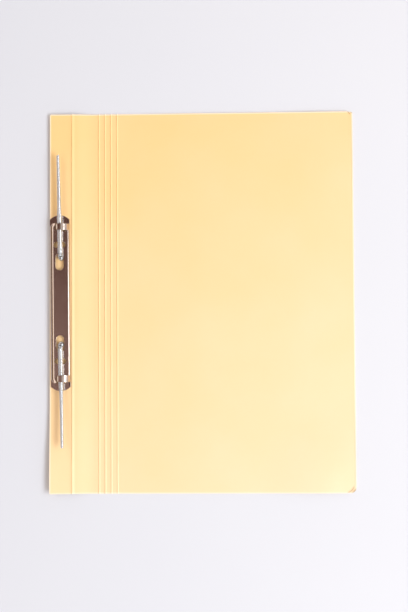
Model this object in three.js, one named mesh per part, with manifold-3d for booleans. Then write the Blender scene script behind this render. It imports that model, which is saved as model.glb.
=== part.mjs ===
// Spring file: two sheets of manila card held at their bound edge between a steel strip underneath
// and a pressed steel clip on top. Two coil-spring prongs rise from the strip, fold over the clip
// and lie under its hooks, and papers go on them when they are straightened.
// Lengths are in millimetres. The origin is on the table under the middle of the back cover,
// with +X away from the bound edge, +Y towards the file's top edge and +Z up.
// Inside the file's group, x is measured from the bound edge instead.

import * as THREE from 'three';
import { mergeVertices } from 'three/addons/utils/BufferGeometryUtils.js';
import Module from 'manifold-3d';

const wasm = await Module();
wasm.setup();

// Card covers
const FILE_WIDTH = 280;
const FILE_LENGTH = 350;
const CARD = 0.45; // thickness of the card
const FRONT_SETBACK = 1.7; // the front cover stops this far short of the back one
const BOUND_CORNER = 1.6; // corner radii of the card
const TOP_CORNER = 3.7;
const BOTTOM_CORNER = 8;
const HINGE_LINE = 20.5; // score that the front cover turns on, from the bound edge
const FIRST_SCORE = 45.3; // first of the evenly spaced scores, from the bound edge
const SCORE_PITCH = 5.6;
const SCORE_COUNT = 4;
const SCORE_WIDTH = 2;
const SCORE_RISE = 0.45;
const RAMP_LENGTH = 22; // the card comes down from the strip to the table over this length

// Spring prongs and the posts that hold them
const POST_SPACING = 80;
const POST_INSET = 10.5; // from the bound edge to the posts
const POST_OFFSET = 1.6; // the pair of posts sits this far above the middle of the file
const POST_DIAMETER = 2.2;
const POST_HEAD_DIAMETER = 6;
const POST_HEAD_THICKNESS = 0.7;
const POST_GRIP = 2; // length of a post inside its spring
const POST_ROUND = 0.35; // bevel round the post's top
const PRONG_DIAMETER = 4.6;
const PRONG_TIP_DIAMETER = 3.7;
const PRONG_REACH = 95; // from the post to the tip
const PRONG_TURN = 1.25; // degrees that the prongs lie out of line with the file
const PRONG_RISE_UPPER = 0.6; // how far each tip springs up past the clip
const PRONG_RISE_LOWER = 2.6;
const ELBOW_INSIDE = 1.6; // radius inside the prong's bend
const WIRE = 1; // wire of the close-wound spring, one turn after another
const WIRE_GROOVE = 0.3; // depth of the groove between turns
const PRONG_TIP_ROUND = 0.8; // length of the rounded tip
const PRONG_TIP_FLAT = 1.8; // diameter of the tip's flat end

// Clip: a pressed steel channel with flat round-ended tabs
const CLIP_WIDTH = 18.1;
const CLIP_STEEL = 0.8;
const CLIP_HEIGHT = 3;
const CLIP_SIDE = 3.3; // width of the curved side, seen from above
const CLIP_SLIP = 1.75; // the clip has slid this far down on the posts
const CLIP_SHIFT = 0.75; // and this far towards the bound edge
const CLIP_TURN = 0.45; // degrees that the clip lies out of line with the file
const CLIP_END_RADIUS = 12.4;
const CHANNEL_CORNER = 5;
const PRESS_CORNER = 0.8; // smallest corner radius that the pressing leaves, seen from above
const TAB_OVERHANG = 41; // from a post's nominal place to the tab's end
const CHANNEL_OVERHANG = 34.2; // from a post's nominal place to the channel's end
const SLOT_LENGTH = 15.5; // slot that a prong rises through
const SLOT_WIDTH = 7.4;
const SLOT_BACK = 2.3; // the slot's middle lies this far inside the post
const WINDOW_LENGTH = 11.2; // crosswise window under a prong
const WINDOW_WIDTH = 5.3;
const WINDOW_REACH = 13.6; // from a post's nominal place to the window's middle
const HOOK_WIDTH = 6;
const HOOK_REACH = 29.7; // from a post's nominal place to the hook's middle
const HOOK_LIP = 10; // degrees that a hook goes on past the top of its prong
const LANCE_LENGTH = 12.4; // opening that the hook is cut from

// Strip under the back cover
const STRIP_WIDTH = 14;
const STRIP_OVERHANG = 11; // past each post
const STRIP_HEIGHT = 2;
const STRIP_STEEL = 0.8;
const STRIP_CORNER = 4;
const STRIP_SIDE = 1.4;

// Clearances
const SHEET_GAP = 0.15; // between sheets that lie on each other
const RUNNING_GAP = 0.3; // around posts, prongs and hooks
const HOLE_GAP = 0.4; // around a prong in the card
const HINGE_GAP = 0.35; // from the hinge line to the bound strip's edge
const HINGE_CUT = 0.1; // from the hinge line to the cover's edge
const CUT = 1; // how far cutting tools run past a face

// Heights that follow from the sizes above
const BACK_Z = STRIP_HEIGHT + SHEET_GAP; // underside of the back cover over the strip
const FRONT_LIFT = CARD + SHEET_GAP; // from the back cover's underside to the front one's
const CLIP_Z = BACK_Z + FRONT_LIFT + CARD + SHEET_GAP; // underside of the clip
const PRONG_RADIUS = PRONG_DIAMETER / 2;
const PRONG_Z = CLIP_Z + CLIP_HEIGHT + RUNNING_GAP + PRONG_RADIUS; // axis of a lying prong
const PRONG_FOOT_Z = STRIP_HEIGHT + RUNNING_GAP;
const ELBOW_RADIUS = ELBOW_INSIDE + PRONG_RADIUS;
const LEG_LENGTH = PRONG_Z - ELBOW_RADIUS - PRONG_FOOT_Z; // upright part of a prong
const BEND_LENGTH = (ELBOW_RADIUS * Math.PI) / 2;

// Fineness of the faceted curves
const ARC_STEPS = 6; // flats in each rounded corner or pressed side
const RAMP_STEPS = 8;
const RIDGE_STEPS = 6;
const PRONG_SIDES = 10;

const manila = { color: 0xfbdc9c, roughness: 0.85, metalness: 0 };
const nickel = { color: 0xc9c6c0, roughness: 0.22, metalness: 1 };
const springSteel = { color: 0xb4bac2, roughness: 0.28, metalness: 1 };
const zinc = { color: 0xa6a9ac, roughness: 0.5, metalness: 1 };

// Turn a closed three.js geometry into a solid that can be joined and cut.
function solidOf(geometry) {
  const bare = geometry.clone();
  bare.deleteAttribute('normal');
  bare.deleteAttribute('uv');
  const merged = mergeVertices(bare, 1e-4);
  return new wasm.Manifold(new wasm.Mesh({
    numProp: 3,
    vertProperties: merged.attributes.position.array,
    triVerts: Uint32Array.from(merged.index.array),
  }));
}

function geometryOf(solid) {
  const mesh = solid.getMesh();
  const geometry = new THREE.BufferGeometry();
  geometry.setAttribute('position', new THREE.BufferAttribute(mesh.vertProperties, 3));
  geometry.setIndex(new THREE.BufferAttribute(mesh.triVerts, 1));
  geometry.computeVertexNormals();
  return geometry;
}

function piece(name, geometry, look) {
  const mesh = new THREE.Mesh(geometry, new THREE.MeshStandardMaterial(look));
  mesh.name = name;
  return mesh;
}

// Upright prism over a shape in the XY plane.
function prism(shape, bottom, top) {
  const geometry = new THREE.ExtrudeGeometry(shape, {
    depth: top - bottom,
    bevelEnabled: false,
    curveSegments: 2 * ARC_STEPS,
  });
  geometry.translate(0, 0, bottom);
  return solidOf(geometry);
}

// Bar along Y over a shape in the XZ plane, centred on y = 0.
function bar(shape, length) {
  const geometry = new THREE.ExtrudeGeometry(shape, { depth: length, bevelEnabled: false });
  geometry.rotateX(Math.PI / 2);
  geometry.translate(0, length / 2, 0);
  return solidOf(geometry);
}

function roundHole(x, y, radius, bottom, top) {
  const shape = new THREE.Shape().absarc(x, y, radius, 0, 2 * Math.PI);
  return prism(shape, bottom, top);
}

// Slot with round ends, sizes measured over the ends.
function slotShape(x, y, sizeX, sizeY) {
  const radius = Math.min(sizeX, sizeY) / 2;
  const runX = sizeX / 2 - radius;
  const runY = sizeY / 2 - radius;
  const shape = new THREE.Shape();
  if (runY > runX) {
    shape.absarc(x, y + runY, radius, 0, Math.PI);
    shape.absarc(x, y - runY, radius, Math.PI, 2 * Math.PI);
  } else {
    shape.absarc(x + runX, y, radius, -Math.PI / 2, Math.PI / 2);
    shape.absarc(x - runX, y, radius, Math.PI / 2, 1.5 * Math.PI);
  }
  shape.closePath();
  return shape;
}

// Card covers

// The hinge line and the evenly spaced scores, from the bound edge.
function scoreLines() {
  const lines = [HINGE_LINE];
  for (let i = 0; i < SCORE_COUNT; i += 1) lines.push(FIRST_SCORE + i * SCORE_PITCH);
  return lines;
}

// Height of the scores' rounded ridges over the flat card.
function ridge(x) {
  let rise = 0;
  for (const score of scoreLines()) {
    const across = Math.abs(x - score) / (SCORE_WIDTH / 2);
    if (across < 1) rise += SCORE_RISE * (1 + Math.cos(Math.PI * across)) / 2;
  }
  return rise;
}

// Height of the card's underside: level over the strip, then down to the table.
function underside(x) {
  const along = THREE.MathUtils.clamp((x - HINGE_LINE) / RAMP_LENGTH, 0, 1);
  return BACK_Z * (1 + Math.cos(Math.PI * along)) / 2;
}

// Places across the card where its section needs a point.
function sectionStops(from, to, scored) {
  const stops = [from, to];
  for (let i = 0; i <= RAMP_STEPS; i += 1) stops.push(HINGE_LINE + (RAMP_LENGTH * i) / RAMP_STEPS);
  for (const score of scored ? scoreLines() : []) {
    for (let i = 0; i <= RIDGE_STEPS; i += 1) {
      stops.push(score + SCORE_WIDTH * (i / RIDGE_STEPS - 1 / 2));
    }
  }
  const inside = stops.filter((x) => x >= from && x <= to);
  return [...new Set(inside)].sort((a, b) => a - b);
}

function cardSection(from, to, lift, scored) {
  const height = (x) => underside(x) + lift + (scored ? ridge(x) : 0);
  const stops = sectionStops(from, to, scored);
  const low = stops.map((x) => new THREE.Vector2(x, height(x)));
  const high = stops.map((x) => new THREE.Vector2(x, height(x) + CARD)).reverse();
  return new THREE.Shape([...low, ...high]);
}

// Outline of a whole sheet, with small corners at the bound edge and larger ones at the free edge.
function cardOutline(width) {
  const half = FILE_LENGTH / 2;
  const shape = new THREE.Shape();
  shape.absarc(BOUND_CORNER, BOUND_CORNER - half, BOUND_CORNER, Math.PI, 1.5 * Math.PI);
  shape.absarc(width - BOTTOM_CORNER, BOTTOM_CORNER - half, BOTTOM_CORNER, -Math.PI / 2, 0);
  shape.absarc(width - TOP_CORNER, half - TOP_CORNER, TOP_CORNER, 0, Math.PI / 2);
  shape.absarc(BOUND_CORNER, half - BOUND_CORNER, BOUND_CORNER, Math.PI / 2, Math.PI);
  shape.closePath();
  return shape;
}

function card(from, to, width, lift, scored) {
  const sheet = bar(cardSection(from, to, lift, scored), FILE_LENGTH);
  return sheet.intersect(prism(cardOutline(width), -CUT, CLIP_Z + CUT));
}

function withProngHoles(sheet) {
  let cut = sheet;
  for (const y of postPlaces()) {
    cut = cut.subtract(roundHole(POST_INSET, y, PRONG_RADIUS + HOLE_GAP, -CUT, CLIP_Z + CUT));
  }
  return cut;
}

function postPlaces() {
  return [POST_OFFSET + POST_SPACING / 2, POST_OFFSET - POST_SPACING / 2];
}

function backCover() {
  return withProngHoles(card(0, FILE_WIDTH, FILE_WIDTH, 0, false));
}

function frontStrip() {
  const width = FILE_WIDTH - FRONT_SETBACK;
  return withProngHoles(card(0, HINGE_LINE - HINGE_GAP, width, FRONT_LIFT, true));
}

function frontCover() {
  const width = FILE_WIDTH - FRONT_SETBACK;
  return card(HINGE_LINE + HINGE_CUT, width, width, FRONT_LIFT, true);
}

// Pressed steel

// Rounded rectangle with the same number of points at every size, for lofting.
function panOutline(halfWidth, halfLength, corner) {
  const points = [];
  const quarters = [[1, -1], [1, 1], [-1, 1], [-1, -1]];
  quarters.forEach(([sideX, sideY], quarter) => {
    for (let i = 0; i <= ARC_STEPS; i += 1) {
      const angle = (quarter - 1 + i / ARC_STEPS) * (Math.PI / 2);
      points.push(new THREE.Vector2(
        sideX * (halfWidth - corner) + corner * Math.cos(angle),
        sideY * (halfLength - corner) + corner * Math.sin(angle),
      ));
    }
  });
  return points;
}

// Closed solid through a stack of convex outlines, each { points, z }, from the lowest up.
function loft(levels) {
  const count = levels[0].points.length;
  const position = [];
  const index = [];
  for (const { points, z } of levels) {
    for (const point of points) position.push(point.x, point.y, z);
  }
  for (let level = 0; level + 1 < levels.length; level += 1) {
    for (let i = 0; i < count; i += 1) {
      const a = level * count + i;
      const b = level * count + ((i + 1) % count);
      index.push(a, b, b + count, a, b + count, a + count);
    }
  }
  const last = (levels.length - 1) * count;
  for (let i = 1; i + 1 < count; i += 1) {
    index.push(0, i + 1, i);
    index.push(last, last + i, last + i + 1);
  }
  const geometry = new THREE.BufferGeometry();
  geometry.setAttribute('position', new THREE.Float32BufferAttribute(position, 3));
  geometry.setIndex(index);
  return solidOf(geometry);
}

// Solid hump with curved sides: full size at the bottom, `side` smaller all round at the top.
function hump(halfWidth, halfLength, corner, height, side, depth) {
  const levels = [];
  if (depth > 0) levels.push({ points: panOutline(halfWidth, halfLength, corner), z: -depth });
  for (let i = 0; i <= ARC_STEPS; i += 1) {
    const angle = (i / ARC_STEPS) * (Math.PI / 2);
    const inset = side * (1 - Math.cos(angle));
    const round = Math.max(corner - inset, PRESS_CORNER);
    levels.push({
      points: panOutline(halfWidth - inset, halfLength - inset, round),
      z: height * Math.sin(angle),
    });
  }
  return loft(levels);
}

// Inside of the same hump when it is pressed from sheet of the given thickness.
function humpHollow(halfWidth, halfLength, corner, height, side, steel) {
  const round = Math.max(corner - steel, PRESS_CORNER);
  return hump(halfWidth - steel, halfLength - steel, round, height - steel, side - steel / 2, CUT);
}

function stripUnderCovers() {
  const halfLength = POST_SPACING / 2 + STRIP_OVERHANG;
  let strip = hump(STRIP_WIDTH / 2, halfLength, STRIP_CORNER, STRIP_HEIGHT, STRIP_SIDE, 0);
  strip = strip.subtract(humpHollow(
    STRIP_WIDTH / 2, halfLength, STRIP_CORNER, STRIP_HEIGHT, STRIP_SIDE, STRIP_STEEL,
  ));
  for (const side of [1, -1]) {
    const radius = POST_DIAMETER / 2 + RUNNING_GAP;
    strip = strip.subtract(
      roundHole(0, (side * POST_SPACING) / 2, radius, -CUT, STRIP_HEIGHT + CUT),
    );
  }
  return strip;
}

// Turned post: its head lies inside the strip, and its shank goes up into the spring.
function postGeometry() {
  const headTop = STRIP_HEIGHT - STRIP_STEEL - RUNNING_GAP;
  const top = PRONG_FOOT_Z + POST_GRIP;
  const radius = POST_DIAMETER / 2;
  const profile = [
    new THREE.Vector2(0, headTop - POST_HEAD_THICKNESS),
    new THREE.Vector2(POST_HEAD_DIAMETER / 2, headTop - POST_HEAD_THICKNESS),
    new THREE.Vector2(POST_HEAD_DIAMETER / 2, headTop),
    new THREE.Vector2(radius, headTop),
    new THREE.Vector2(radius, top - POST_ROUND),
    new THREE.Vector2(radius - POST_ROUND, top),
    new THREE.Vector2(0, top),
  ];
  return new THREE.LatheGeometry(profile, 3 * ARC_STEPS).rotateX(Math.PI / 2);
}

// Clip

function clipOutline() {
  const halfWidth = CLIP_WIDTH / 2;
  const end = POST_SPACING / 2 + TAB_OVERHANG - CLIP_END_RADIUS;
  const spread = Math.asin(halfWidth / CLIP_END_RADIUS);
  const shape = new THREE.Shape();
  shape.absarc(0, end, CLIP_END_RADIUS, Math.PI / 2 - spread, Math.PI / 2 + spread);
  shape.absarc(0, -end, CLIP_END_RADIUS, 1.5 * Math.PI - spread, 1.5 * Math.PI + spread);
  shape.closePath();
  return shape;
}

// Section of a hook: a quarter ellipse from the clip's right foot up over the prong.
function hookSection() {
  const foot = CLIP_STEEL / 2;
  const outerX = CLIP_WIDTH / 2;
  const outerZ = CLIP_HEIGHT + PRONG_DIAMETER + 2 * RUNNING_GAP + CLIP_STEEL - foot;
  const sweep = Math.PI / 2 + THREE.MathUtils.degToRad(HOOK_LIP);
  const steps = 2 * ARC_STEPS;
  const outer = [];
  const inner = [];
  for (let i = 0; i <= steps; i += 1) {
    const angle = (sweep * i) / steps;
    const across = Math.cos(angle);
    const up = Math.sin(angle);
    outer.push(new THREE.Vector2(outerX * across, foot + outerZ * up));
    inner.push(new THREE.Vector2(
      (outerX - CLIP_STEEL) * across,
      foot + (outerZ - CLIP_STEEL) * up,
    ));
  }
  return new THREE.Shape([...outer, ...inner.reverse()]);
}

function clipPlate() {
  const halfWidth = CLIP_WIDTH / 2;
  const halfChannel = POST_SPACING / 2 + CHANNEL_OVERHANG;
  const high = CLIP_HEIGHT + CUT;
  let clip = prism(clipOutline(), 0, CLIP_STEEL);
  clip = clip.add(hump(halfWidth, halfChannel, CHANNEL_CORNER, CLIP_HEIGHT, CLIP_SIDE, 0));
  clip = clip.subtract(humpHollow(
    halfWidth, halfChannel, CHANNEL_CORNER, CLIP_HEIGHT, CLIP_SIDE, CLIP_STEEL,
  ));
  for (const side of [1, -1]) {
    const post = (side * POST_SPACING) / 2;
    const slot = slotShape(0, post - side * SLOT_BACK, SLOT_WIDTH, SLOT_LENGTH);
    const window = slotShape(0, post + side * WINDOW_REACH, WINDOW_LENGTH, WINDOW_WIDTH);
    const hookY = post + side * HOOK_REACH;
    const lanceX = halfWidth - CLIP_STEEL - LANCE_LENGTH / 2;
    const lance = slotShape(lanceX, hookY, LANCE_LENGTH, HOOK_WIDTH + 2 * RUNNING_GAP);
    const hook = bar(hookSection(), HOOK_WIDTH).translate([0, hookY, 0]);
    clip = clip.subtract(prism(slot, -CUT, high));
    clip = clip.subtract(prism(window, -CUT, high));
    clip = clip.subtract(prism(lance, -CUT, high));
    clip = clip.add(hook);
  }
  return clip;
}

// Spring prongs

// Point on a prong's centre line at the length s from its foot: how far out from the post,
// how high, and the angle it climbs at.
function prongLine(s, tipRise) {
  if (s <= LEG_LENGTH) return { out: 0, up: PRONG_FOOT_Z + s, climb: Math.PI / 2 };
  if (s <= LEG_LENGTH + BEND_LENGTH) {
    const climb = Math.PI / 2 - (s - LEG_LENGTH) / ELBOW_RADIUS;
    return {
      out: ELBOW_RADIUS * (1 - Math.sin(climb)),
      up: PRONG_Z - ELBOW_RADIUS + ELBOW_RADIUS * Math.cos(climb),
      climb,
    };
  }
  const out = ELBOW_RADIUS + s - LEG_LENGTH - BEND_LENGTH;
  const free = Math.max(out - TAB_OVERHANG, 0) / (PRONG_REACH - TAB_OVERHANG);
  return {
    out,
    up: PRONG_Z + tipRise * free * free,
    climb: Math.atan((2 * tipRise * free) / (PRONG_REACH - TAB_OVERHANG)),
  };
}

// The spring's diameter is even up to the hook, and then it narrows to the tip.
function prongRadius(out) {
  const free = THREE.MathUtils.clamp(
    (out - HOOK_REACH - HOOK_WIDTH) / (PRONG_REACH - HOOK_REACH - HOOK_WIDTH), 0, 1,
  );
  return THREE.MathUtils.lerp(PRONG_DIAMETER, PRONG_TIP_DIAMETER, free) / 2;
}

// Close-wound spring, each turn drawn as a ring, with a bore for its post at the foot.
function prongSolid(tipRise) {
  const length = LEG_LENGTH + BEND_LENGTH + PRONG_REACH - ELBOW_RADIUS;
  const coiled = length - PRONG_TIP_ROUND;
  const steps = 2 * Math.round(coiled / WIRE);
  const rings = [];
  for (let i = 0; i <= steps; i += 1) {
    const line = prongLine((coiled * i) / steps, tipRise);
    const groove = i % 2 === 1 ? WIRE_GROOVE : 0;
    rings.push({ ...line, radius: prongRadius(line.out) - groove });
  }
  rings.push({ ...prongLine(length, tipRise), radius: PRONG_TIP_FLAT / 2 });

  const position = [];
  const index = [];
  for (const { out, up, climb, radius } of rings) {
    for (let k = 0; k < PRONG_SIDES; k += 1) {
      const turn = (2 * Math.PI * k) / PRONG_SIDES;
      const over = radius * Math.sin(turn);
      position.push(
        radius * Math.cos(turn),
        out - over * Math.sin(climb),
        up + over * Math.cos(climb),
      );
    }
  }
  for (let ring = 0; ring + 1 < rings.length; ring += 1) {
    for (let k = 0; k < PRONG_SIDES; k += 1) {
      const a = ring * PRONG_SIDES + k;
      const b = ring * PRONG_SIDES + ((k + 1) % PRONG_SIDES);
      index.push(a, b + PRONG_SIDES, b, a, a + PRONG_SIDES, b + PRONG_SIDES);
    }
  }
  const last = (rings.length - 1) * PRONG_SIDES;
  for (let k = 1; k + 1 < PRONG_SIDES; k += 1) {
    index.push(0, k, k + 1);
    index.push(last, last + k + 1, last + k);
  }
  const geometry = new THREE.BufferGeometry();
  geometry.setAttribute('position', new THREE.Float32BufferAttribute(position, 3));
  geometry.setIndex(index);
  const boreTop = PRONG_FOOT_Z + POST_GRIP + RUNNING_GAP;
  const bore = roundHole(0, 0, POST_DIAMETER / 2 + RUNNING_GAP, PRONG_FOOT_Z - CUT, boreTop);
  return solidOf(geometry).subtract(bore);
}

// Assembly

const file = new THREE.Group();
file.position.x = -FILE_WIDTH / 2;

file.add(piece('back_cover', geometryOf(backCover()), manila));
file.add(piece('front_strip', geometryOf(frontStrip()), manila));
file.add(piece('front_cover', geometryOf(frontCover()), manila));

const strip = piece('base_strip', geometryOf(stripUnderCovers()), zinc);
strip.position.set(POST_INSET, POST_OFFSET, 0);
file.add(strip);

const clip = piece('clip_plate', geometryOf(clipPlate()), nickel);
clip.position.set(POST_INSET - CLIP_SHIFT, POST_OFFSET - CLIP_SLIP, CLIP_Z);
clip.rotation.z = THREE.MathUtils.degToRad(CLIP_TURN);
file.add(clip);

const prongs = [
  { end: 'upper', y: postPlaces()[0], turn: 0, tipRise: PRONG_RISE_UPPER },
  { end: 'lower', y: postPlaces()[1], turn: 180, tipRise: PRONG_RISE_LOWER },
];
for (const { end, y, turn, tipRise } of prongs) {
  const post = piece(`post_${end}`, postGeometry(), zinc);
  post.position.set(POST_INSET, y, 0);
  file.add(post);

  const prong = piece(`prong_${end}`, geometryOf(prongSolid(tipRise)), springSteel);
  prong.position.set(POST_INSET, y, 0);
  prong.rotation.z = THREE.MathUtils.degToRad(turn + PRONG_TURN);
  file.add(prong);
}

export default file;
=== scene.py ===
"""Manila spring file, lying flat: two sheets of buff card, a pressed clip and two coil-spring prongs."""
import math

import bmesh
import bpy
from mathutils import Matrix, Vector, noise


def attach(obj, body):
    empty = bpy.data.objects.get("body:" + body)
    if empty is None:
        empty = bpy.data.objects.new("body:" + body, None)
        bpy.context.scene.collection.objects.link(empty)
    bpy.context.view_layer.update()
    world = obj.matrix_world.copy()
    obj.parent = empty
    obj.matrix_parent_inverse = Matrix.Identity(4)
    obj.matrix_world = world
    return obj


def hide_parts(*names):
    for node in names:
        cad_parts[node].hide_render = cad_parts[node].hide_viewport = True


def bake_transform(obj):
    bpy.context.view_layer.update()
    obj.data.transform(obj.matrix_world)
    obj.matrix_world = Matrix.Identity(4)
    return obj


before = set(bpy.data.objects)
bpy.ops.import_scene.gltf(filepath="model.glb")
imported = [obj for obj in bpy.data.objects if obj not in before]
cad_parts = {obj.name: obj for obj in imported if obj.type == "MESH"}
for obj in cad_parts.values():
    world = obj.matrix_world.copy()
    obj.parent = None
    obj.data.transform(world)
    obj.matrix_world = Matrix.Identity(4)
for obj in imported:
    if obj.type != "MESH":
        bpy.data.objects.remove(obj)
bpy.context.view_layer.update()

# Lengths are in millimetres here, as in the solid model, and meshes are scaled to metres at the end.
MM = 0.001

# Card
FILE_WIDTH = 280
FILE_LENGTH = 350
LEFT = -FILE_WIDTH / 2
CARD = 0.45
FRONT_SETBACK = 1.7
BOUND_CORNER = 1.6
# Radii of the free corners, the upper one and the lower one.
FRONT_CORNERS = (3.7, 8.0)
BACK_CORNERS = (2.0, 5.0)
HINGE_LINE = 20.5
SCORES = [HINGE_LINE] + [45.3 + 5.6 * turn for turn in range(4)]
# Each score's width on the left and the right of its crest, and its height.
SCORE_SHAPES = [(0.9, 2.8, 0.6)] + [(0.8, 1.1, 0.52)] * 4
CURL_RISE = 3.0
CURL_START = 90
CURL_LENGTH = 75
CURL_REACH = 44
BACK_WAVE = 0.3
BACK_WAVE_SIZE = 90
FRONT_WAVE = 0.7
FRONT_WAVE_SIZE = 110
FRONT_AIR = 0.15
# Lift of the front sheet near a free corner, at its peak and at the corner itself.
UPPER_LIFT = (0.7, 0.3)
LOWER_LIFT = (1.8, 0.5)
LIFT_PEAK = 30
LIFT_FADE = 60
# Darkening along the rounded edge of a free corner, and how far it reaches.
CORNER_DARKENING = 0.9
DARKENING_REACH = 1.3
# Width of the painted highlight along the card's cut edges, and how fast it sets in, per metre.
HIGHLIGHT_RIM = 1.3
HIGHLIGHT_RIM_FADE = 2000
RAMP_LENGTH = 22
BACK_Z = 2.15
FRONT_LIFT = 0.6
HOLE_RADIUS = 2.7
CARD_SOFT_ANGLE = 50
COLUMN_COUNT = 110
ROW_COUNT = 55
END_ROWS = (0, 0.25, 0.5, 0.9, 1.4, 2, 2.8, 3.8, 5, 6.5, 8.5)
END_LENGTH = 11
SMALLEST_STEP = 0.04

# Posts and springs
POST_INSET = 10.5
POSTS = (41.6, -38.4)
PRONG_DIAMETER = 4.6
PRONG_TIP_DIAMETER = 2.9
PRONG_SHOULDER = 0.7
SHOULDER_LENGTH = 12
PRONG_REACH = 95
PRONG_TURN = 1.25
PRONG_RISES = (0.6, 2.6)
PRONG_FOOT_Z = 2.3
PRONG_Z = 8.95
ELBOW_RADIUS = 3.9
LEG_LENGTH = PRONG_Z - ELBOW_RADIUS - PRONG_FOOT_Z
BEND_LENGTH = ELBOW_RADIUS * math.pi / 2
WIRE = 1.0
WIRE_PACKING = 0.995
TURN_STEPS = 24
WIRE_SIDES = 12
WIRE_FLATNESS = 0.62
CLOSING_TURNS = 1.6
TIP_OPENING = 0.22

# Clip
CLIP_PLACE = (POST_INSET - 0.75, sum(POSTS) / 2 - 1.75, 3.35)
CLIP_TURN = 0.45
CLIP_WIDTH = 18.1
CLIP_STEEL = 0.8
CLIP_HEIGHT = 3
CLIP_SIDE = 3.3
# The channel's left side is wider and rounder than its right one.
LEAN = 0.4
RIGHT_POWER = 3.3
CLIP_END_RADIUS = 12.4
CHANNEL_CORNER = 5
PRESS_CORNER = 0.8
POST_HALF = 40
TAB_OVERHANG = 41
CHANNEL_OVERHANG = 34.2
SLOT = (7.4, 15.5)
SLOT_BACK = 2.3
WINDOW = (11.2, 5.3)
WINDOW_REACH = 13.6
HOOK_WIDTH = 6
HOOK_REACH = 29.7
HOOK_OUTER_Z = 8.6
HOOK_FOOT = 0.4
HOOK_SWEEP = 100
HOOK_FULLNESS = 0.86
HOOK_TIP_ROUND = 1.4
HOOK_ARC = HOOK_OUTER_Z * 1.35
HOOK_STEPS = 30
HOOK_COLUMNS = 12
LANCE = (12.4, 6.6)
EDGE_ROUND = 0.14
RIM_ANGLE = 55
RIM_TOLERANCE = 0.02
WELD = 0.004
CLIP_SOFT_ANGLE = 38

# Card colours, as 8-bit display values
# CARD_DEEP and the paler tone after it make a painted light gradient: deep at the upper left, pale
# towards the lower right, as if more light fell there.
CARD_DEEP = (253, 209, 139)
CARD_PAINTED_LIT = (254, 225, 186)
CARD_BLOTCH = (240, 198, 118)
CARD_FIBRE = (255, 240, 205)
CARD_FLECK = (196, 150, 92)
CARD_EDGE_HIGHLIGHT = (255, 245, 224)
CARD_CORNER_DARK = (176, 146, 100)

# Room, lamp and camera, in metres and degrees, with linear colours
TABLE_REACH = 6.0
# The table's colour on its left and its right, a painted shade that darkens the left.
TABLE_SHADED = (0.69, 0.72, 0.80, 1)
TABLE_LIT = (0.765, 0.785, 0.85, 1)
WORLD_LEFT = (0.26, 0.17, 0.10, 1)
WORLD_RIGHT = (0.74, 0.715, 0.70, 1)
WORLD_STRIP = (1.5, 1.36, 1.24, 1)
WORLD_ABOVE = (0.095, 0.038, 0.028, 1)
WORLD_ABOVE_NEAR = (0.33, 0.215, 0.20, 1)
WORLD_STRENGTH = 1.06
BACKDROP = (0.80, 0.81, 0.85, 1)
LAMP_PLACE = (1.95, -0.85, 2.15)
LAMP_SIZE = (2.6, 1.1)
LAMP_POWER = 69
LAMP_COLOUR = (0.95, 0.985, 1.0)
CAMERA_PLACE = (0.03686, -0.05651, 1.09354)
CAMERA_TURN = (2.751, 1.838, -0.321)
CAMERA_LENS = 70
CAMERA_SENSOR = 36


def spread(low, high, count):
    """Evenly spaced values from low to high, both included."""
    return [low + (high - low) * step / count for step in range(count + 1)]


def smooth(value):
    """Eases a value between 0 and 1."""
    value = max(0.0, min(1.0, value))
    return value * value * (3 - 2 * value)


def new_object(name, mesh_data):
    """Links a mesh into the scene as an object."""
    item = bpy.data.objects.new(name, mesh_data)
    bpy.context.scene.collection.objects.link(item)
    return item


def new_mesh(name, points, faces):
    """Makes a mesh from points and faces, with all faces turned outwards."""
    mesh_data = bpy.data.meshes.new(name)
    mesh_data.from_pydata(points, [], faces)
    shape = bmesh.new()
    shape.from_mesh(mesh_data)
    bmesh.ops.recalc_face_normals(shape, faces=shape.faces)
    shape.to_mesh(mesh_data)
    shape.free()
    return mesh_data


def combine(target, tool, operation):
    """Joins or cuts the target with the tool, which is used up."""
    step = target.modifiers.new("combine", "BOOLEAN")
    step.operation = operation
    step.solver = "EXACT"
    step.object = tool
    graph = bpy.context.evaluated_depsgraph_get()
    result = bpy.data.meshes.new_from_object(target.evaluated_get(graph))
    target.modifiers.clear()
    target.data = result
    bpy.data.objects.remove(tool)


# Card

def underside(x):
    """Height of the back sheet's lower face, x counted from the bound edge."""
    along = max(0.0, min(1.0, (x - HINGE_LINE) / RAMP_LENGTH))
    return BACK_Z * (1 + math.cos(math.pi * along)) / 2


def ridge(x):
    """Height that the scores add to the front sheet."""
    rise = 0.0
    for score, (left, right, height) in zip(SCORES, SCORE_SHAPES):
        away = (x - score) / (right if x > score else left)
        if abs(away) < 1:
            rise += height * (1 + math.cos(math.pi * away)) / 2
    return rise


def columns_across(width, corners, scored):
    """X stations across a sheet, closer at the scores and round the corners."""
    places = spread(0, width, COLUMN_COUNT) + spread(HINGE_LINE, HINGE_LINE + RAMP_LENGTH, 16)
    for turn in spread(0, math.pi / 2, 12):
        for corner in corners:
            places.append(width - corner + corner * math.sin(turn))
        places.append(BOUND_CORNER - BOUND_CORNER * math.cos(turn))
    if scored:
        for score, (left, right, _) in zip(SCORES, SCORE_SHAPES):
            places += spread(score - left, score, 6) + spread(score, score + right, 9)
    kept = [0.0]
    for value in sorted(places):
        if value - kept[-1] > SMALLEST_STEP:
            kept.append(value)
    kept[-1] = width
    return kept


def rows_along():
    """Rows along a sheet, as shares of half its length, closer at the two ends."""
    half = FILE_LENGTH / 2
    places = [1 - away / half for away in END_ROWS]
    places += [away / half for away in spread(0, half - END_LENGTH, ROW_COUNT)]
    return sorted(places + [-share for share in places if share > 0])


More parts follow.
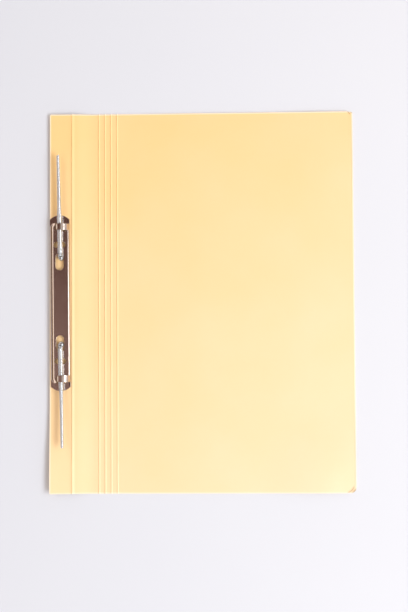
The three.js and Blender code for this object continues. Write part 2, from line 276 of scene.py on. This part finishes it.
def half_length(x, width, corner):
    """Distance from the middle to the sheet's end at x, with its corners rounded."""
    half = FILE_LENGTH / 2
    if x > width - corner:
        deep = x - (width - corner)
        return half - corner + math.sqrt(max(0.0, corner * corner - deep * deep))
    if x < BOUND_CORNER:
        deep = BOUND_CORNER - x
        return half - BOUND_CORNER + math.sqrt(max(0.0, BOUND_CORNER ** 2 - deep * deep))
    return half


def ripple(x, y, size, seed):
    """Smooth noise between about 0 and 1."""
    return 0.5 + 0.5 * noise.noise(Vector((x / size, y / size, seed)))


def bound_lift(x, y):
    """Curl of both sheets at the lower end of the bound edge, beyond the clip."""
    near = max(0.0, 1 - x / CURL_REACH)
    return CURL_RISE * smooth((-y - CURL_START) / CURL_LENGTH) * near ** 2


def back_height(x, y):
    """Lower face of the back sheet: level over the strip, then on the table, a little wavy."""
    free = smooth((x - 60) / 80)
    wave = free * BACK_WAVE * ripple(x, y, BACK_WAVE_SIZE, 4.2) ** 2
    return underside(x) + wave + bound_lift(x, y)


def corner_lift(x, y):
    """Lift of a free corner: up to the peak some way in, and back down towards the corner."""
    peak, rest = UPPER_LIFT if y >= 0 else LOWER_LIFT
    away = math.hypot(FILE_WIDTH - x, FILE_LENGTH / 2 - abs(y))
    if away < LIFT_PEAK:
        return rest + (peak - rest) * smooth(away / LIFT_PEAK)
    return peak * smooth(1 - (away - LIFT_PEAK) / LIFT_FADE)


def front_height(x, y):
    """Lower face of the front sheet, which lies on the back one and lifts a little at the free side."""
    free = smooth((x - 66) / 90)
    lift = free * (FRONT_AIR + FRONT_WAVE * ripple(x, y, FRONT_WAVE_SIZE, 7.7) ** 2)
    lift += corner_lift(x, y) * smooth((x - 150) / 60)
    return back_height(x, y) + FRONT_LIFT + ridge(x) + lift


def corner_darkening_share(x, y, width, corners):
    """Share of darkening on a point: strong on the rounded edge of a free corner, none elsewhere."""
    corner = corners[0] if y > 0 else corners[1]
    edge = FILE_LENGTH / 2 - abs(y)
    side = width - x
    round_x = corner - side
    round_y = corner - edge
    if round_x > 0 and round_y > 0:
        away = corner - math.hypot(round_x, round_y)
        edged = math.exp(-((away / DARKENING_REACH) ** 2))
        return CORNER_DARKENING * edged * smooth(2 * min(round_x, round_y) / corner)
    return 0.0


def grid_faces(columns, count):
    """Faces of a closed plate whose points run up each column, its lower and upper one by turns."""
    def at(column, row, upper):
        return (column * count + row) * 2 + upper

    last = columns - 1
    faces = []
    for column in range(last):
        for row in range(count - 1):
            ring = [(column, row), (column + 1, row), (column + 1, row + 1), (column, row + 1)]
            faces.append([at(c, r, 1) for c, r in ring])
            faces.append([at(c, r, 0) for c, r in reversed(ring)])
    for row in range(count - 1):
        faces.append([at(0, row, 0), at(0, row, 1), at(0, row + 1, 1), at(0, row + 1, 0)])
        faces.append([at(last, row, 0), at(last, row + 1, 0), at(last, row + 1, 1), at(last, row, 1)])
    for column in range(last):
        for row in (0, count - 1):
            faces.append([at(column, row, 0), at(column + 1, row, 0),
                          at(column + 1, row, 1), at(column, row, 1)])
    return faces


def mark_sheet(item, width, corners):
    """Adds the flat coordinates and the corner darkening that the card's material reads."""
    flat = item.data.uv_layers.new(name="flat")
    for loop in item.data.loops:
        place = item.data.vertices[loop.vertex_index].co
        flat.data[loop.index].uv = (place.x * MM, place.y * MM)
    corner_dark = item.data.attributes.new("corner_dark", "FLOAT", "POINT")
    for number, point in enumerate(item.data.vertices):
        corner_dark.data[number].value = corner_darkening_share(point.co.x - LEFT, point.co.y, width, corners)


def sheet(name, width, corners, height_at, scored):
    """Builds one sheet of card as a closed solid, its lower face at height_at(x, y)."""
    columns = columns_across(width, corners, scored)
    rows = rows_along()
    points = []
    for x in columns:
        upper_half = half_length(x, width, corners[0])
        lower_half = half_length(x, width, corners[1])
        for share in rows:
            y = share * (upper_half if share > 0 else lower_half)
            low = height_at(x, y)
            points.append((LEFT + x, y, low))
            points.append((LEFT + x, y, low + CARD))
    item = new_object(name, new_mesh(name, points, grid_faces(len(columns), len(rows))))
    for y in POSTS:
        hole = prism("hole", slot_outline(LEFT + POST_INSET, y, 2 * HOLE_RADIUS, 2 * HOLE_RADIUS), -1, 8)
        combine(item, hole, "DIFFERENCE")
    mark_sheet(item, width, corners)
    for face in item.data.polygons:
        face.use_smooth = abs(face.normal.z) > 0.5
    item.data.set_sharp_from_angle(angle=math.radians(CARD_SOFT_ANGLE))
    item.data.transform(Matrix.Scale(MM, 4))
    return item


# Solids for the clip

def pan_outline(half_width, half_length_y, corner, middle=0.0, steps=14):
    """Rounded rectangle with the same number of points at every size, its middle at the given x."""
    points = []
    for quarter, (side_x, side_y) in enumerate([(1, -1), (1, 1), (-1, 1), (-1, -1)]):
        for share in spread(quarter - 1, quarter, steps):
            angle = share * math.pi / 2
            points.append((
                middle + side_x * (half_width - corner) + corner * math.cos(angle),
                side_y * (half_length_y - corner) + corner * math.sin(angle),
            ))
    return points


def slot_outline(x, y, size_x, size_y, steps=20):
    """Slot with round ends, sizes measured over the ends."""
    radius = min(size_x, size_y) / 2
    run_x = size_x / 2 - radius
    run_y = size_y / 2 - radius
    points = []
    upright = run_y > run_x
    for half in (0, 1):
        first = half * math.pi - (0 if upright else math.pi / 2)
        sign = 1 - 2 * half
        for angle in spread(first, first + math.pi, steps):
            points.append((
                x + sign * run_x + radius * math.cos(angle),
                y + sign * run_y + radius * math.sin(angle),
            ))
    if run_x == 0 and run_y == 0:
        points = points[:steps] + points[steps + 1:-1]
    return points


def loft(name, levels):
    """Closed solid through a stack of outlines, each (points, height), from the lowest up."""
    count = len(levels[0][0])
    points = []
    for outline, z in levels:
        points += [(x, y, z) for x, y in outline]
    faces = []
    for level in range(len(levels) - 1):
        for step in range(count):
            a = level * count + step
            b = level * count + (step + 1) % count
            faces.append([a, b, b + count, a + count])
    top = (len(levels) - 1) * count
    faces.append(list(reversed(range(count))))
    faces.append([top + step for step in range(count)])
    return new_object(name, new_mesh(name, points, faces))


def prism(name, outline, bottom, top):
    """Upright prism over an outline."""
    return loft(name, [(outline, bottom), (outline, top)])


def hump(name, half_width, half_length_y, corner, height, side, depth):
    """Solid hump with curved sides: full size at the bottom, smaller all round at the top."""
    levels = []
    if depth:
        levels.append((pan_outline(half_width, half_length_y, corner), -depth))
    for angle in spread(0, math.pi / 2, 18):
        share = math.sin(angle)
        left = (side + LEAN) * (1 - math.cos(angle))
        right = (side - LEAN) * (1 - (1 - share ** RIGHT_POWER) ** (1 / RIGHT_POWER))
        mean = (left + right) / 2
        corner_here = max(corner - mean, PRESS_CORNER)
        outline = pan_outline(half_width - mean, half_length_y - mean, corner_here, (left - right) / 2)
        levels.append((outline, height * share))
    return loft(name, levels)


def tab_outline():
    """Outline of the flat plate with its round ends."""
    half = CLIP_WIDTH / 2
    end = POST_HALF + TAB_OVERHANG - CLIP_END_RADIUS
    reach = math.asin(half / CLIP_END_RADIUS)
    points = []
    for side in (0, 1):
        middle = math.pi / 2 + side * math.pi
        for angle in spread(middle - reach, middle + reach, 28):
            points.append((
                CLIP_END_RADIUS * math.cos(angle),
                (1 - 2 * side) * end + CLIP_END_RADIUS * math.sin(angle),
            ))
    return points


def hook(name, middle_y):
    """Tongue bent up from the clip's right foot over the prong, with a rounded tip."""
    points = []
    sweep = math.radians(HOOK_SWEEP)
    for angle in spread(0, sweep, HOOK_STEPS):
        deep = max(0.0, HOOK_TIP_ROUND - (sweep - angle) * HOOK_ARC)
        half = HOOK_WIDTH / 2 - HOOK_TIP_ROUND + math.sqrt(max(0.0, HOOK_TIP_ROUND ** 2 - deep ** 2))
        out = math.copysign(abs(math.cos(angle)) ** HOOK_FULLNESS, math.cos(angle))
        up = math.sin(angle) ** HOOK_FULLNESS
        for share in spread(-1, 1, HOOK_COLUMNS):
            for thick in (0, CLIP_STEEL):
                points.append((
                    (CLIP_WIDTH / 2 - thick) * out,
                    middle_y + share * half,
                    HOOK_FOOT + (HOOK_OUTER_Z - thick) * up,
                ))
    return new_object(name, new_mesh(name, points, grid_faces(HOOK_STEPS + 1, HOOK_COLUMNS + 1)))


def mark_rims(clip, channel_end):
    """Gives the top's and the end tabs' rims the weight by which they are rounded."""
    shape = bmesh.new()
    shape.from_mesh(clip.data)
    bmesh.ops.remove_doubles(shape, verts=shape.verts, dist=WELD)
    weight = shape.edges.layers.float.new("bevel_weight_edge")
    for line in shape.edges:
        if len(line.link_faces) != 2 or line.calc_face_angle(0) < math.radians(RIM_ANGLE):
            continue
        heights = [corner.co.z for corner in line.verts]
        ends = [abs(corner.co.y) for corner in line.verts]
        on_top = all(abs(z - CLIP_HEIGHT) < RIM_TOLERANCE for z in heights)
        on_plate = all(abs(z - CLIP_STEEL) < RIM_TOLERANCE for z in heights)
        on_tab = on_plate and min(ends) > channel_end + 0.3
        line[weight] = 1.0 if on_top or on_tab else 0.0
    shape.to_mesh(clip.data)
    shape.free()


def build_clip():
    """Pressed clip: channel with curved sides, round-ended tabs, slots, windows and hooks."""
    half = CLIP_WIDTH / 2
    channel = POST_HALF + CHANNEL_OVERHANG
    clip = prism("clip", tab_outline(), 0, CLIP_STEEL)
    combine(clip, hump("channel", half, channel, CHANNEL_CORNER, CLIP_HEIGHT, CLIP_SIDE, 0), "UNION")
    hollow = hump(
        "hollow", half - CLIP_STEEL, channel - CLIP_STEEL, CHANNEL_CORNER - CLIP_STEEL,
        CLIP_HEIGHT - CLIP_STEEL, CLIP_SIDE - CLIP_STEEL / 2, 1,
    )
    combine(clip, hollow, "DIFFERENCE")
    for side in (1, -1):
        post = side * POST_HALF
        lance_x = half - CLIP_STEEL - LANCE[0] / 2
        for outline in (
            slot_outline(0, post - side * SLOT_BACK, *SLOT),
            slot_outline(0, post + side * WINDOW_REACH, *WINDOW),
            slot_outline(lance_x, post + side * HOOK_REACH, *LANCE),
        ):
            combine(clip, prism("opening", outline, -1, CLIP_HEIGHT + 1), "DIFFERENCE")
    for side in (1, -1):
        combine(clip, hook("hook", side * (POST_HALF + HOOK_REACH)), "UNION")
    mark_rims(clip, channel)
    clip.data.transform(
        Matrix.Scale(MM, 4)
        @ Matrix.Translation((LEFT + CLIP_PLACE[0], CLIP_PLACE[1], CLIP_PLACE[2]))
        @ Matrix.Rotation(math.radians(CLIP_TURN), 4, "Z")
    )
    for face in clip.data.polygons:
        face.use_smooth = True
    clip.data.set_sharp_from_angle(angle=math.radians(CLIP_SOFT_ANGLE))
    edge = clip.modifiers.new("edge", "BEVEL")
    edge.width = EDGE_ROUND * MM
    edge.segments = 3
    edge.limit_method = "WEIGHT"
    edge.use_clamp_overlap = False
    even = clip.modifiers.new("even", "WEIGHTED_NORMAL")
    even.weight = 100
    even.keep_sharp = True
    return clip


# Springs

def prong_line(s, tip_rise):
    """Centre line at the length s from the foot: out from the post, up, and the climb angle."""
    if s <= LEG_LENGTH:
        return 0.0, PRONG_FOOT_Z + s, math.pi / 2
    if s <= LEG_LENGTH + BEND_LENGTH:
        climb = math.pi / 2 - (s - LEG_LENGTH) / ELBOW_RADIUS
        return (
            ELBOW_RADIUS * (1 - math.sin(climb)),
            PRONG_Z - ELBOW_RADIUS + ELBOW_RADIUS * math.cos(climb),
            climb,
        )
    out = ELBOW_RADIUS + s - LEG_LENGTH - BEND_LENGTH
    free = max(out - TAB_OVERHANG, 0) / (PRONG_REACH - TAB_OVERHANG)
    climb = math.atan(2 * tip_rise * free / (PRONG_REACH - TAB_OVERHANG))
    return out, PRONG_Z + tip_rise * free * free, climb


def prong_radius(out):
    """Outer radius: even up to the hook, a soft shoulder, and then narrowing to the tip."""
    start = HOOK_REACH + HOOK_WIDTH
    shoulder = PRONG_SHOULDER * smooth((out - start) / SHOULDER_LENGTH)
    free = max(0.0, min(1.0, (out - start) / (PRONG_REACH - start)))
    taper = (PRONG_DIAMETER - PRONG_SHOULDER - PRONG_TIP_DIAMETER) * free
    return (PRONG_DIAMETER - shoulder - taper) / 2


def full(value):
    """Draws a circle's cosine or sine out towards a rounded square, for slightly flattened wire."""
    return math.copysign(abs(value) ** WIRE_FLATNESS, value)


def wire_stations():
    """Steps along a prong, each its length from the foot and the angle that the wire has turned."""
    length = LEG_LENGTH + BEND_LENGTH + PRONG_REACH - ELBOW_RADIUS
    bend_end = LEG_LENGTH + BEND_LENGTH
    inside = (PRONG_DIAMETER - WIRE) / 2
    swell = ELBOW_RADIUS / (ELBOW_RADIUS - inside)
    stations = []
    s = WIRE / 2
    winding = 0.0
    while s < length - WIRE / 2:
        stations.append((s, winding))
        pitch = WIRE
        if LEG_LENGTH < s < bend_end:
            share = (s - LEG_LENGTH) / BEND_LENGTH
            pitch = WIRE * (1 + (swell - 1) * smooth(4 * min(share, 1 - share)))
        s += pitch * WIRE_PACKING / TURN_STEPS
        winding += 2 * math.pi / TURN_STEPS
    return stations, winding


def wire_ring(s, tip_rise, winding, closing):
    """Points round the wire where it has turned by winding, closing on the prong's middle at the tip."""
    out, up, climb = prong_line(s, tip_rise)
    radius = prong_radius(out) - WIRE / 2
    if closing < 1:
        radius *= TIP_OPENING + (1 - TIP_OPENING) * math.sqrt(max(0.0, 1 - (1 - closing) ** 2))
    along = Vector((0, math.cos(climb), math.sin(climb)))
    side = Vector((math.cos(winding), 0, 0))
    rise = Vector((0, -math.sin(climb), math.cos(climb))) * math.sin(winding)
    outward = side + rise
    centre = Vector((0, out, up)) + outward * radius
    points = []
    for step in range(WIRE_SIDES):
        angle = 2 * math.pi * step / WIRE_SIDES
        edge = outward * full(math.cos(angle)) + along * full(math.sin(angle))
        points.append(centre + edge * WIRE / 2)
    return points


def spring(name, post_y, turn, tip_rise):
    """Close-wound spring: one wire, wound turn against turn along the prong's centre line."""
    stations, end_winding = wire_stations()
    points = []
    for s, winding in stations:
        closing = (end_winding - winding) / (2 * math.pi * CLOSING_TURNS)
        points += wire_ring(s, tip_rise, winding, closing)
    faces = []
    for ring in range(len(stations) - 1):
        for step in range(WIRE_SIDES):
            a = ring * WIRE_SIDES + step
            b = ring * WIRE_SIDES + (step + 1) % WIRE_SIDES
            faces.append([a, b, b + WIRE_SIDES, a + WIRE_SIDES])
    last = (len(stations) - 1) * WIRE_SIDES
    faces.append(list(range(WIRE_SIDES)))
    faces.append([last + step for step in range(WIRE_SIDES)])
    item = new_object(name, new_mesh(name, points, faces))
    item.data.transform(
        Matrix.Scale(MM, 4)
        @ Matrix.Translation((LEFT + POST_INSET, post_y, 0))
        @ Matrix.Rotation(math.radians(turn + PRONG_TURN), 4, "Z")
    )
    for face in item.data.polygons:
        face.use_smooth = len(face.vertices) == 4
    return item


# Materials

def srgb(red, green, blue):
    """Linear colour from 8-bit display values."""
    def linear(value):
        value /= 255
        return value / 12.92 if value <= 0.04045 else ((value + 0.055) / 1.055) ** 2.4
    return (linear(red), linear(green), linear(blue), 1)


class Nodes:
    """Shorthand for wiring the nodes of a material or of the world."""

    def __init__(self, owner, shader):
        owner.use_nodes = True
        self.owner = owner
        self.tree = owner.node_tree
        self.shader = self.tree.nodes[shader]

    def add(self, kind, **inputs):
        """Adds a node, its inputs named with _ for spaces and given as links or plain values."""
        node = self.tree.nodes.new(kind)
        for key, value in inputs.items():
            self.put(node, key.replace("_", " "), value)
        return node

    def put(self, node, key, value):
        """Sets one input from a link or a plain value."""
        socket = node.inputs[int(key[1:])] if key[0] == "#" else node.inputs[key]
        if isinstance(value, bpy.types.NodeSocket):
            self.tree.links.new(value, socket)
        else:
            socket.default_value = value

    def math(self, operation, first, second=0.5, third=0.0):
        """Adds a math node and gives its output."""
        node = self.tree.nodes.new("ShaderNodeMath")
        node.operation = operation
        for place, value in enumerate((first, second, third)):
            self.put(node, "#%d" % place, value)
        return node.outputs[0]

    def noise(self, vector, scale, detail=2.0, roughness=0.5):
        """Adds a noise texture and gives its value."""
        node = self.add("ShaderNodeTexNoise", Vector=vector, Scale=scale, Detail=detail,
                        Roughness=roughness)
        return node.outputs["Fac"]

    def rise(self, value, start, end):
        """Adds a smooth step from 0 at start to 1 at end, and gives its value."""
        node = self.tree.nodes.new("ShaderNodeMapRange")
        node.interpolation_type = "SMOOTHSTEP"
        for key, setting in (("Value", value), ("From Min", start), ("From Max", end)):
            self.put(node, key, setting)
        return node.outputs[0]

    def clamp(self, value):
        """Keeps a value between 0 and 1."""
        return self.add("ShaderNodeClamp", Value=value).outputs[0]

    def mix(self, share, first, second):
        """Adds a colour mix and gives its result."""
        node = self.tree.nodes.new("ShaderNodeMix")
        node.data_type = "RGBA"
        self.put(node, "#0", share)
        self.put(node, "#6", first)
        self.put(node, "#7", second)
        return node.outputs[2]

    def shade(self, **inputs):
        """Sets inputs on the owner's own shader."""
        for key, value in inputs.items():
            self.put(self.shader, key.replace("_", " "), value)


def new_material(name):
    """Makes a material and gives its nodes."""
    return Nodes(bpy.data.materials.new(name), "Principled BSDF")


def stretched(nodes, vector, scale):
    """Scales coordinates unevenly."""
    node = nodes.add("ShaderNodeMapping", Vector=vector)
    node.inputs["Scale"].default_value = scale
    return node.outputs[0]


def painted_edge_highlight(nodes, across, along):
    """Share of the painted highlight along the cut edges: 1 at the card's four edges, 0 from the rim's
    width inwards.
    """
    sides = []
    for output, length in ((across, FILE_WIDTH), (along, FILE_LENGTH)):
        away = nodes.math("ABSOLUTE", output)
        sides.append(nodes.math("MULTIPLY_ADD", away, HIGHLIGHT_RIM_FADE, -HIGHLIGHT_RIM_FADE * (length / 2 - HIGHLIGHT_RIM) * MM))
    return nodes.clamp(nodes.math("MAXIMUM", *sides))


def make_manila():
    """Buff card: painted light paling it towards the lower right, mottling, short fibres, flecks, a
    painted highlight along the cut edges and darker rounded free corners.
    """
    nodes = new_material("manila")
    place = nodes.add("ShaderNodeUVMap")
    place.uv_map = "flat"
    flat = place.outputs[0]
    cloud = nodes.noise(flat, 14, 3)
    blotch = nodes.noise(flat, 110, 4, 0.6)
    fibre = nodes.noise(stretched(nodes, flat, (700, 2600, 1)), 1, 3, 0.7)
    fleck = nodes.noise(stretched(nodes, flat, (2400, 900, 1)), 1, 2, 0.6)
    parts = nodes.add("ShaderNodeSeparateXYZ", Vector=flat)
    across, along = parts.outputs[0], parts.outputs[1]
    # Painted light: the card pales from the upper left towards the lower right, as if lit more there,
    # with random cloud laid over it.
    painted_light_slope = nodes.math("MULTIPLY_ADD", along, -1.9, nodes.math("MULTIPLY_ADD", across, 1.3, 0.5))
    painted_light_and_cloud = nodes.clamp(nodes.math("MULTIPLY_ADD", cloud, 0.5, nodes.math("SUBTRACT", painted_light_slope, 0.25)))
    speck = nodes.math("GREATER_THAN", fleck, 0.73)
    # Darkens the rounded edge of each free corner.
    corner_dark = nodes.add("ShaderNodeAttribute")
    corner_dark.attribute_name = "corner_dark"
    dark_edge = nodes.math("MULTIPLY", corner_dark.outputs["Fac"], nodes.math("MULTIPLY_ADD", blotch, 0.6, 0.5))
    colour = nodes.mix(painted_light_and_cloud, srgb(*CARD_DEEP), srgb(*CARD_PAINTED_LIT))
    colour = nodes.mix(nodes.math("MULTIPLY", blotch, 0.08), colour, srgb(*CARD_BLOTCH))
    colour = nodes.mix(nodes.math("MULTIPLY", fibre, 0.08), colour, srgb(*CARD_FIBRE))
    colour = nodes.mix(nodes.math("MULTIPLY", speck, 0.18), colour, srgb(*CARD_FLECK))
    # Painted highlight: a pale band along all four cut edges, as if lit.
    highlight_share = nodes.math("MULTIPLY", painted_edge_highlight(nodes, across, along), 0.6)
    colour = nodes.mix(highlight_share, colour, srgb(*CARD_EDGE_HIGHLIGHT))
    colour = nodes.mix(dark_edge, colour, srgb(*CARD_CORNER_DARK))
    roughness = nodes.math("MULTIPLY_ADD", blotch, 0.22, 0.42)
    height = nodes.math("MULTIPLY_ADD", fibre, 0.6, nodes.math("MULTIPLY", blotch, 0.5))
    bump = nodes.add("ShaderNodeBump", Strength=0.22, Distance=0.00006, Height=height)
    nodes.shade(Base_Color=colour, Roughness=roughness, Normal=bump.outputs[0])
    nodes.shade(Specular_IOR_Level=0.85)
    return nodes.owner


def make_metal(name, colour, dull, roughness_range, grain, bump_size):
    """Plated steel with faint smears, tarnish and small dents in its reflection."""
    nodes = new_material(name)
    smoothest, roughest = roughness_range
    place = nodes.add("ShaderNodeTexCoord").outputs["Object"]
    smear = nodes.noise(place, 45, 4, 0.6)
    fine = nodes.noise(stretched(nodes, place, grain), 1, 3, 0.6)
    tarnish = nodes.math("SMOOTH_MIN", nodes.noise(place, 260, 5, 0.65), 0.6, 0.1)
    tint = nodes.mix(nodes.math("MULTIPLY", tarnish, 0.6), colour, dull)
    roughness = nodes.math("MULTIPLY_ADD", smear, roughest - smoothest, smoothest)
    height = nodes.math("MULTIPLY_ADD", fine, 0.25, smear)
    bump = nodes.add("ShaderNodeBump", Strength=0.35, Distance=bump_size, Height=height)
    nodes.shade(Base_Color=tint, Roughness=roughness, Normal=bump.outputs[0], Metallic=1.0)
    return nodes.owner


manila = make_manila()
nickel = make_metal(
    "nickel", colour=(0.66, 0.57, 0.52, 1), dull=(0.40, 0.29, 0.235, 1),
    roughness_range=(0.10, 0.22), grain=(300, 3000, 300), bump_size=0.00004,
)
spring_steel = make_metal(
    "spring_steel", colour=(0.72, 0.75, 0.80, 1), dull=(0.62, 0.64, 0.67, 1),
    roughness_range=(0.18, 0.23), grain=(900, 900, 900), bump_size=0.00001,
)
zinc = make_metal(
    "zinc", colour=(0.52, 0.53, 0.54, 1), dull=(0.34, 0.34, 0.33, 1),
    roughness_range=(0.36, 0.56), grain=(900, 900, 900), bump_size=0.00008,
)


# Pieces

front_sheet = sheet("front_sheet", FILE_WIDTH - FRONT_SETBACK, FRONT_CORNERS, front_height, True)
back_sheet = sheet("back_sheet", FILE_WIDTH, BACK_CORNERS, back_height, False)
clip = build_clip()
springs = [
    spring("spring_upper", POSTS[0], 0, PRONG_RISES[0]),
    spring("spring_lower", POSTS[1], 180, PRONG_RISES[1]),
]

for item, material in (
    (front_sheet, manila), (back_sheet, manila), (clip, nickel),
    (springs[0], spring_steel), (springs[1], spring_steel),
):
    item.data.materials.clear()
    item.data.materials.append(material)
for name in ("base_strip", "post_upper", "post_lower"):
    node = bpy.data.objects[name]
    for place in node.material_slots:
        place.material = zinc

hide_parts("front_strip", "front_cover")
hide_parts("back_cover")
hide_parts("clip_plate")
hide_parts("prong_upper")
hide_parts("prong_lower")
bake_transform(front_sheet)
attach(back_sheet, "root")
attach(clip, "root")
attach(springs[0], "upper_spring")
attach(springs[1], "lower_spring")


# Floor, light and camera

def make_floor():
    """Pale table, large enough to fill any view from above, with painted shade that darkens it towards
    the left.
    """
    shape = bpy.data.meshes.new("table")
    signs = [(-1, -1), (1, -1), (1, 1), (-1, 1)]
    corners = [(x * TABLE_REACH, y * TABLE_REACH, 0) for x, y in signs]
    shape.from_pydata(corners, [], [(0, 1, 2, 3)])
    table = new_object("table", shape)
    nodes = new_material("table_top")
    place = nodes.add("ShaderNodeTexCoord").outputs["Object"]
    cloud = nodes.noise(place, 5, 3)
    across = nodes.add("ShaderNodeSeparateXYZ", Vector=place).outputs[0]
    # Painted shade: the table darkens towards the left, as if less light fell there; the cloud adds
    # random tone.
    right = nodes.math("MULTIPLY_ADD", across, 1.6, nodes.math("MULTIPLY_ADD", cloud, 0.3, 0.35))
    colour = nodes.mix(nodes.clamp(right), TABLE_SHADED, TABLE_LIT)
    nodes.shade(Base_Color=colour, Roughness=0.75, Specular_IOR_Level=0.2)
    shape.materials.append(nodes.owner)


def make_lamp(name, place, size, power, colour):
    """Long soft light aimed at the middle of the file, its size given across and up."""
    data = bpy.data.lights.new(name, "AREA")
    data.shape = "RECTANGLE"
    data.size, data.size_y = size
    data.energy = power
    data.color = colour
    lamp = bpy.data.objects.new(name, data)
    lamp.location = place
    lamp.rotation_euler = (-Vector(place)).to_track_quat("-Z", "Y").to_euler()
    bpy.context.scene.collection.objects.link(lamp)


def make_world():
    """Soft room light: bright on the right, a light strip on the left, dark above; plain where seen."""
    world = bpy.data.worlds.new("room")
    nodes = Nodes(world, "Background")
    direction = nodes.add("ShaderNodeTexCoord").outputs["Generated"]
    parts = nodes.add("ShaderNodeSeparateXYZ", Vector=direction)
    right, away, up = parts.outputs[0], parts.outputs[1], parts.outputs[2]
    colour = nodes.mix(nodes.rise(right, -0.1, 0.35), WORLD_LEFT, WORLD_RIGHT)
    strip = nodes.math("MULTIPLY", nodes.rise(right, -0.25, -0.31), nodes.rise(right, -0.70, -0.62))
    colour = nodes.mix(strip, colour, WORLD_STRIP)
    overhead = nodes.math("MULTIPLY", nodes.rise(right, -0.27, -0.22), nodes.rise(right, 0.12, 0.0))
    overhead = nodes.math("MULTIPLY", overhead, nodes.rise(up, 0.80, 0.93))
    dark = nodes.mix(nodes.rise(away, 0.16, -0.06), WORLD_ABOVE, WORLD_ABOVE_NEAR)
    nodes.shade(Color=nodes.mix(overhead, colour, dark), Strength=WORLD_STRENGTH)
    backdrop = nodes.add("ShaderNodeBackground", Color=BACKDROP)
    chosen = nodes.add("ShaderNodeMixShader")
    nodes.put(chosen, "#0", nodes.add("ShaderNodeLightPath").outputs["Is Camera Ray"])
    nodes.put(chosen, "#1", nodes.shader.outputs[0])
    nodes.put(chosen, "#2", backdrop.outputs[0])
    nodes.put(nodes.tree.nodes["World Output"], "Surface", chosen.outputs[0])
    bpy.context.scene.world = world


def make_camera():
    """Camera straight above the file, turned a little as in the photograph."""
    data = bpy.data.cameras.new("camera")
    data.lens = CAMERA_LENS
    data.sensor_width = CAMERA_SENSOR
    data.clip_start = 0.05
    data.clip_end = 50
    camera = bpy.data.objects.new("camera", data)
    camera.location = CAMERA_PLACE
    camera.rotation_euler = [math.radians(turn) for turn in CAMERA_TURN]
    bpy.context.scene.collection.objects.link(camera)
    bpy.context.scene.camera = camera


make_floor()
make_world()
make_lamp("key", LAMP_PLACE, LAMP_SIZE, LAMP_POWER, LAMP_COLOUR)
make_camera()
bpy.context.scene.view_settings.view_transform = "Standard"
